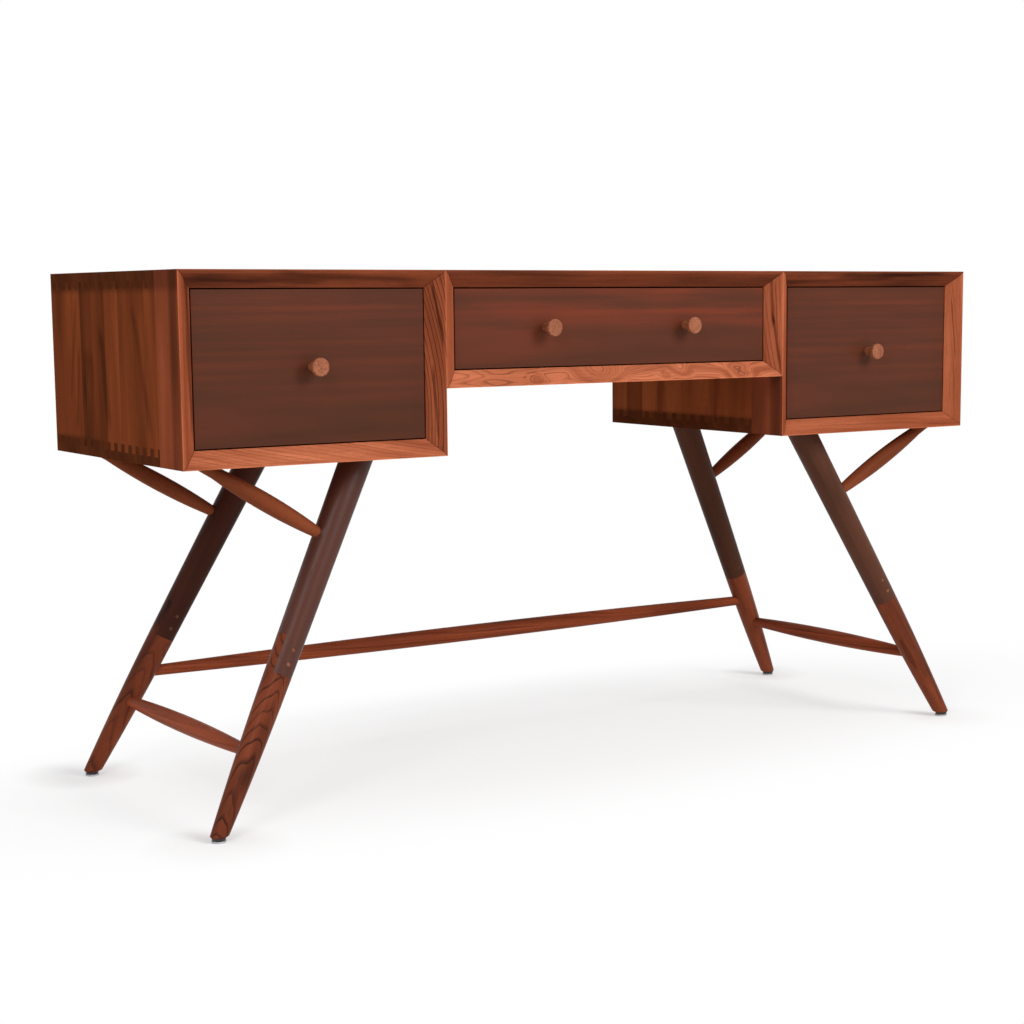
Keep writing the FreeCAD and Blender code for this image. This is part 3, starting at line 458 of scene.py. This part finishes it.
# The fronts' edges are paler: painted highlight on the arrises, and wear
FRONT_WEAR_AND_HIGHLIGHT_WIDTH, FRONT_WEAR_AND_HIGHLIGHT = 0.0012, 0.15
for box, sizes in FRAME_BOXES.items():
    label = f"{box}_drawer_front"
    material, shader, place = new_finish(label, gloss=0.08)
    low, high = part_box(label)
    lie = laid(place, (sizes["middle"] - 3, low.y + 0.09, low.z + 0.03), (1, 0, 0), (0, 0, 1))
    plain, lift = DRAWER_TONES[box]
    up = (place.part("Z") - low.z) / (high.z - low.z)
    patches = place.noise(FRONT_PATCHES, 2.0).step(0.45, 0.7) * up.step(0.3, 0.7)
    # Darker towards the foot, as painted shade
    tone = patches * lift - up.step(0.45, 0.0) * FRONT_FOOT_PAINTED_SHADE + plain
    # Paler edges: painted highlight and wear
    tone = tone + edge_wear_and_highlight(place, low, high, FRONT_WEAR_AND_HIGHLIGHT_WIDTH) * FRONT_WEAR_AND_HIGHLIGHT
    sheesham(shader, lie, STAIN_SHADES, tone, bands=0.34, ring=0.002, lines=0.08, wander=0.003, taper=0.0, rough=0.36)
    wear(label, material)

# The drawer boxes: plain planed boards of pale wood, the sides grooved for the bottom panel and the runners.
# They are fixed behind the fronts, and left unfinished because they stand inside the desk.
BOX_SHADES = colour(140, 96, 62), colour(178, 128, 86), colour(205, 160, 116)
side_wood, shader, place = new_finish("drawer_side_wood", gloss=0.16)
sheesham(shader, laid(place, (0, -3, 0.5), (0, 1, 0), (0, 0, 1)), BOX_SHADES, tone=0.5, lines=0.2, rough=0.62)
panel_wood, shader, place = new_finish("drawer_panel_wood", gloss=0.16)
sheesham(shader, laid(place, (-3, 0.3, 0.45), (1, 0, 0), (0, 1, 0)), BOX_SHADES, tone=0.5, lines=0.2, rough=0.62)
for box in FRAME_BOXES:
    wear(f"{box}_drawer_sides", side_wood)
    wear(f"{box}_drawer_back", panel_wood)
    wear(f"{box}_drawer_bottom", panel_wood)

# The drawer runners: planed battens of waxed hardwood, a pair to each drawer.
# They are fixed inside the boxes' sides for the drawers to slide on.
RUNNER_SHADES = colour(96, 58, 36), colour(132, 84, 54), colour(160, 108, 72)
material, shader, place = new_finish("runner_wood", gloss=0.16)
sheesham(shader, laid(place, (0, -2, 0.4), (0, 1, 0), (0, 0, 1)), RUNNER_SHADES, tone=0.5, lines=0.3, rough=0.4)
for box in FRAME_BOXES:
    wear(f"{box}_drawer_runners", material)

# The knobs: turned from pale sheesham, with flecks of end grain on the face, and the stem darkened as painted shade
# under the head.
# Each is held by a steel screw from behind the drawer's front.
KNOB_SHADES = colour(92, 50, 32), colour(146, 86, 58), colour(176, 112, 80)
FLECKS, FLECK_STAIN, STEM_PAINTED_SHADE = (380, 60, 380), 0.6, 0.12
material, shader, place = new_finish("knob_wood", gloss=0.16)
lie = laid(place, (0.02, -2, 0.66), (0, 1, 0), (1, 0, 0))
flecks = place.noise(FLECKS, 2.0).step(0.45, 0.66) * FLECK_STAIN
# The stem and back are darker, as painted shade under the knob's head
stain_and_shade = flecks.most(facing(place, "Y").step(-0.9, -0.7) * STEM_PAINTED_SHADE)
sheesham(shader, lie, KNOB_SHADES, tone=0.5, bands=0.3, ring=0.004, lines=0.1, wander=0.01, sway=20.0, stain_and_shade=stain_and_shade,
         rough=0.4)
for knob in ("left_knob", "centre_left_knob", "centre_right_knob", "right_knob"):
    wear(knob, material)
for box in FRAME_BOXES:
    wear(f"{box}_knob_screws", STEEL)

# The legs: turned and splayed, each spliced from a dark stained upper piece and a lower piece of oiled sheesham.
# The two overlap in a half lap with two pegs, and the upper piece's tenon goes into the pedestal's underside.
LEG_TOP = Vector((0.415, 0.156, 0.5))
LEG_FOOT = Vector((0.680, 0.231, 0.0))
CORNERS = {"front_left": (-1, -1), "front_right": (1, -1), "rear_left": (-1, 1), "rear_right": (1, 1)}
LEFT_UPPER_SHADES = colour(36, 18, 13), colour(70, 35, 24), colour(94, 47, 33)
RIGHT_UPPER_SHADES = colour(38, 22, 16), colour(74, 43, 29), colour(98, 58, 42)
LOWER_SHADES = colour(38, 19, 14), colour(108, 51, 30), colour(138, 68, 42)
# How pale each upper piece took the stain, and how far it shines. The rear left one is darker also as painted shade
# under its pedestal
LEG_STAIN_AND_SHADE = {
    "front_left": (0.55, 0.22), "front_right": (0.58, 0.08), "rear_left": (0.28, 0.05), "rear_right": (0.45, 0.05),
}
# Each lower piece's heart beside its axis, and how its rings run: those of the left legs show nested arches.
# Dark streaks run from a place along and across the leg to another
LEG_FIGURES = {
    "front_left": {
        "heart": (0.024, 0.040, 0), "ring": 0.0045, "taper": 0.0, "arch": 0.2, "lines": 0.95, "even": 0.6,
        "tone": 0.49, "streaks": (((0.27, 0.002), (0.06, -0.001), 0.014),),
    },
    "front_right": {
        "heart": (-0.06, -0.03, 0), "ring": 0.008, "taper": 0.07, "arch": 0.0, "lines": 0.5, "even": 0.2,
        "tone": 0.57, "streaks": (((0.29, -0.014), (0.06, -0.004), 0.012), ((0.14, 0.004), (0.02, 0.0), 0.003)),
    },
    "rear_left": {
        "heart": (0.024, 0.04, 0), "ring": 0.006, "taper": 0.0, "arch": 0.16, "lines": 0.7, "even": 0.5,
        "tone": 0.54, "streaks": (((0.46, -0.019), (0.08, -0.016), 0.008), ((0.38, 0.0), (0.24, 0.0), 0.05)),
    },
    "rear_right": {
        "heart": (0.05, 0.03, 0), "ring": 0.009, "taper": -0.06, "arch": 0.0, "lines": 0.4, "even": 0.1,
        "tone": 0.66, "streaks": (((0.2, 0.006), (0.05, 0.002), 0.004),),
    },
}
LEG_STREAK_DEPTH = 0.24
ARCH_HEIGHT = 0.22
# How far down the trunk the first leg's two pieces start; each next leg starts a metre further
UPPER_START, LOWER_START = 2, 7
UPPER_HEART = Vector((0.03, 0.05, 0))
for number, (corner, (side, end)) in enumerate(CORNERS.items()):
    top = Vector((LEG_TOP.x * side, LEG_TOP.y * end, LEG_TOP.z))
    foot = Vector((LEG_FOOT.x * side, LEG_FOOT.y * end, LEG_FOOT.z))
    axis = (top - foot).normalized()
    # The rear left leg's low tone is partly painted shade
    tone, gloss = LEG_STAIN_AND_SHADE[corner]
    material, shader, place = new_finish(f"{corner}_upper_leg_stain", gloss)
    lie = laid(place, foot - axis * (UPPER_START + number) + UPPER_HEART, axis, (1, 0, 0))
    shades = LEFT_UPPER_SHADES if side < 0 else RIGHT_UPPER_SHADES
    sheesham(shader, lie, shades, tone, bands=0.4, ring=0.012, lines=0.15, rough=0.4)
    wear(f"{corner}_leg_upper", material)
    figure = LEG_FIGURES[corner]
    material, shader, place = new_finish(f"{corner}_lower_leg_wood", gloss=0.06)
    lie = laid(place, foot - axis * (LOWER_START + number) + Vector(figure["heart"]), axis, (1, 0, 0))
    bend = abs(lie.part("X") - LOWER_START - number - ARCH_HEIGHT) * figure["arch"]
    from_foot = laid(place, foot, axis, (1, 0, 0))
    tone = figure["tone"]
    for start, stop, width in figure["streaks"]:
        tone = tone - streak(from_foot, start, stop, width) * LEG_STREAK_DEPTH
    sheesham(shader, lie, LOWER_SHADES, tone, wander=0.02, sway=7.0, bend=bend, grain=0.45, rough=0.36,
             **picked(figure, "ring", "lines", "taper", "even"))
    wear(f"{corner}_leg_lower", material)

# The pegs: short dowels of pale wood, two to each leg, darker in the rear legs.
# They are driven through both halves of the splice and trimmed just below flush.
PEG_SHADES = colour(70, 40, 28), colour(112, 66, 44), colour(138, 84, 58)
FRONT_PEG_TONE, REAR_PEG_DARK = 0.55, 0.4
material, shader, place = new_finish("peg_wood", gloss=0.16)
tone = FRONT_PEG_TONE - place.part("Y").step(-0.05, 0.05) * REAR_PEG_DARK
sheesham(shader, laid(place, (0, -2, 0.2), (0, 1, 0), (1, 0, 0)), PEG_SHADES, tone, ring=0.003, rough=0.5)
wear("leg_pegs", material)

# The glides: dark moulded plastic, one nailed up into each foot.
# Each stands on a pad of pale nylon that meets the floor.
GLIDE_STOPS = [(0.35, colour(34, 28, 28)), (0.65, colour(56, 48, 48))]
PAD_STOPS = [(0.35, colour(150, 148, 154)), (0.65, colour(188, 187, 192))]
wear("foot_glides", speckled("glide_plastic", gloss=0.4, count=700, stops=GLIDE_STOPS, rough=0.4, spread=0.2))
wear("glide_pads", speckled("pad_nylon", gloss=0.4, count=500, stops=PAD_STOPS, rough=0.45, spread=0.2))

# The braces and stretchers: turned spindles of warm sheesham, fullest at the middle.
# Their straight ends are glued into sockets bored in the legs and in the pedestals' undersides.
SPINDLE_SHADES = colour(60, 30, 18), colour(116, 58, 34), colour(150, 80, 50)
STRETCHER_SHADES = colour(44, 22, 15), colour(114, 53, 31), colour(160, 78, 48)
BRACE_TOP = Vector((0.661, 0.188, 0.5))
BRACE_SHARE = 0.221
SPINDLE_START = 3
BRACE_HEART, STRETCHER_HEART, STRETCHER_ASIDE = Vector((0.0, 0.05, 0.02)), Vector((0, 0, -0.035)), 0.01
for number, (corner, (side, end)) in enumerate(CORNERS.items()):
    seat = LEG_TOP.lerp(LEG_FOOT, BRACE_SHARE)
    axis = BRACE_TOP - seat
    axis = Vector((axis.x * side, axis.y * end, axis.z)).normalized()
    start = Vector((seat.x * side, seat.y * end, seat.z)) - axis * (SPINDLE_START + number)
    material, shader, place = new_finish(f"{corner}_brace_wood", gloss=0.02)
    lie = laid(place, start + BRACE_HEART, axis, (0, 1, 0))
    sheesham(shader, lie, SPINDLE_SHADES, tone=0.55, bands=0.5, ring=0.008, lines=0.2, rough=0.38)
    wear(f"{corner}_brace", material)
# The run of each stretcher and the way across it, then its look: the left one is the palest
STRETCHERS = {
    "left_side_stretcher": ((0, 1, 0), (1, 0, 0), {"tone": 0.8, "lines": 0.3, "even": 0.1}),
    "right_side_stretcher": ((0, 1, 0), (1, 0, 0), {"tone": 0.62, "lines": 0.6, "even": 0.4}),
    "long_stretcher": ((1, 0, 0), (0, 1, 0), {"tone": 0.62, "lines": 0.6, "even": 0.4}),
}
for label, (along, across, look) in STRETCHERS.items():
    material, shader, place = new_finish(f"{label}_wood", gloss=0.02)
    low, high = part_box(label)
    heart = (low + high) / 2 - Vector(along) * SPINDLE_START + STRETCHER_HEART + Vector(across) * STRETCHER_ASIDE
    sheesham(shader, laid(place, heart, along, across), STRETCHER_SHADES, ring=0.005, rough=0.36, **look)
    wear(label, material)

# The studio: a white floor that fades into a white ground, with the desk's shadow kept under it and at its feet.
# Soft boxes light it from above on the right and on the left, and the white air all round lights the rest.


def sees_ground(tone):
    """1 for rays that show the white ground as it is: from the camera, mirrored or through glass."""
    kinds = (tone.node("LightPath", {}, {}, f"Is {kind} Ray") for kind in ("Camera", "Glossy", "Transmission"))
    return sum(kinds).step(0.0, 1.0)


FLOOR_SIZE = 40.0
FLOOR_WHITE, FLOOR_ROUGHNESS = (0.97, 0.97, 0.97, 1), 0.9
# The share of the real shading that shows under the desk, and near each foot, and how far each reaches
UNDER_SHADE, UNDER_REACH = 0.49, (0.3, 0.85)
FOOT_SHADE, FOOT_REACH = 0.7, (0.15, 0.02)
UNDER_MIDDLE, UNDER_SQUASH = (0.1, 0.02, 0), (0.6, 1.6, 0)
floor_mesh = bpy.data.meshes.new("studio_floor")
corners = [(FLOOR_SIZE * x, FLOOR_SIZE * y, 0) for x, y in ((-1, -1), (1, -1), (1, 1), (-1, 1))]
floor_mesh.from_pydata(corners, [], [(0, 1, 2, 3)])
floor = bpy.data.objects.new("studio_floor", floor_mesh)
bpy.context.scene.collection.objects.link(floor)
material, shader, place = new_finish("studio_white", gloss=0.0)
shader.inputs["Base Color"].default_value = FLOOR_WHITE
shader.inputs["Roughness"].default_value = FLOOR_ROUGHNESS
floor_mesh.materials.append(material)
from_middle = place.vector("SUBTRACT", UNDER_MIDDLE).vector("MULTIPLY", UNDER_SQUASH).length()
from_feet = {"X": abs(place.part("X")) - LEG_FOOT.x, "Y": abs(place.part("Y")) - LEG_FOOT.y, "Z": 0.0}
from_feet = place.node("CombineXYZ", {}, from_feet).length()
under = (1 - from_middle.step(*UNDER_REACH)) * UNDER_SHADE
shade = under.most(from_feet.step(*FOOT_REACH) * FOOT_SHADE)
lit = Tone(shader.outputs["BSDF"])
white = place.node("Emission", {}, {"Color": (1, 1, 1, 1), "Strength": 1.0})
clean = white.node("MixShader", {}, {0: sees_ground(place) * (1 - shade), 1: lit, 2: white})
clean.feed(material.node_tree.nodes["Material Output"], "Surface")
DESK_MIDDLE = Vector((0, 0, 0.5))


def soft_light(label, place, size, power):
    """A soft box at a place, turned to the desk."""
    data = bpy.data.lights.new(label, "AREA")
    data.shape = "RECTANGLE"
    data.size, data.size_y = size
    data.energy = power
    lamp = bpy.data.objects.new(label, data)
    lamp.location = place
    lamp.rotation_euler = (DESK_MIDDLE - Vector(place)).to_track_quat("-Z", "Y").to_euler()
    bpy.context.scene.collection.objects.link(lamp)


soft_light("key_light", (1.3, -3.2, 2.3), size=(1.6, 1.6), power=90)
soft_light("front_light", (-2.4, -1.9, 2.0), size=(0.9, 1.2), power=26)

AIR_LIGHT = 0.6
world = bpy.data.worlds.new("studio_air")
bpy.context.scene.world = world
world.use_nodes = True
air = world.node_tree.nodes["Background"]
air.inputs["Color"].default_value = (1, 1, 1, 1)
strength = sees_ground(Tone(air.inputs["Color"])) * (1 - AIR_LIGHT) + AIR_LIGHT
strength.feed(air, "Strength")

# The camera: it stands to the front left of the desk, a little below the height of its top.
# Its place, turn and focus were worked out from the photograph, in radians and in pixels of a square picture.
CAMERA_PLACE = Vector((-1.72937, -2.58736, 0.71918))
CAMERA_YAW, CAMERA_PITCH, CAMERA_ROLL = 0.6047, -0.1330, -0.0065
PICTURE = 1024
CAMERA_FOCUS, PICTURE_MIDDLE_X, PICTURE_MIDDLE_Y = 1947.96, 570.775, 559.165
camera_data = bpy.data.cameras.new("camera")
camera_data.sensor_width = 36
camera_data.lens = CAMERA_FOCUS / PICTURE * camera_data.sensor_width
camera_data.shift_x = 0.5 - PICTURE_MIDDLE_X / PICTURE
camera_data.shift_y = PICTURE_MIDDLE_Y / PICTURE - 0.5
camera = bpy.data.objects.new("camera", camera_data)
camera.matrix_world = (
    Matrix.Translation(CAMERA_PLACE)
    @ Matrix.Rotation(-CAMERA_YAW, 4, "Z")
    @ Matrix.Rotation(math.pi / 2 + CAMERA_PITCH, 4, "X")
    @ Matrix.Rotation(CAMERA_ROLL, 4, "Z")
)
bpy.context.scene.collection.objects.link(camera)
bpy.context.scene.camera = camera
bpy.context.scene.view_settings.view_transform = "Standard"
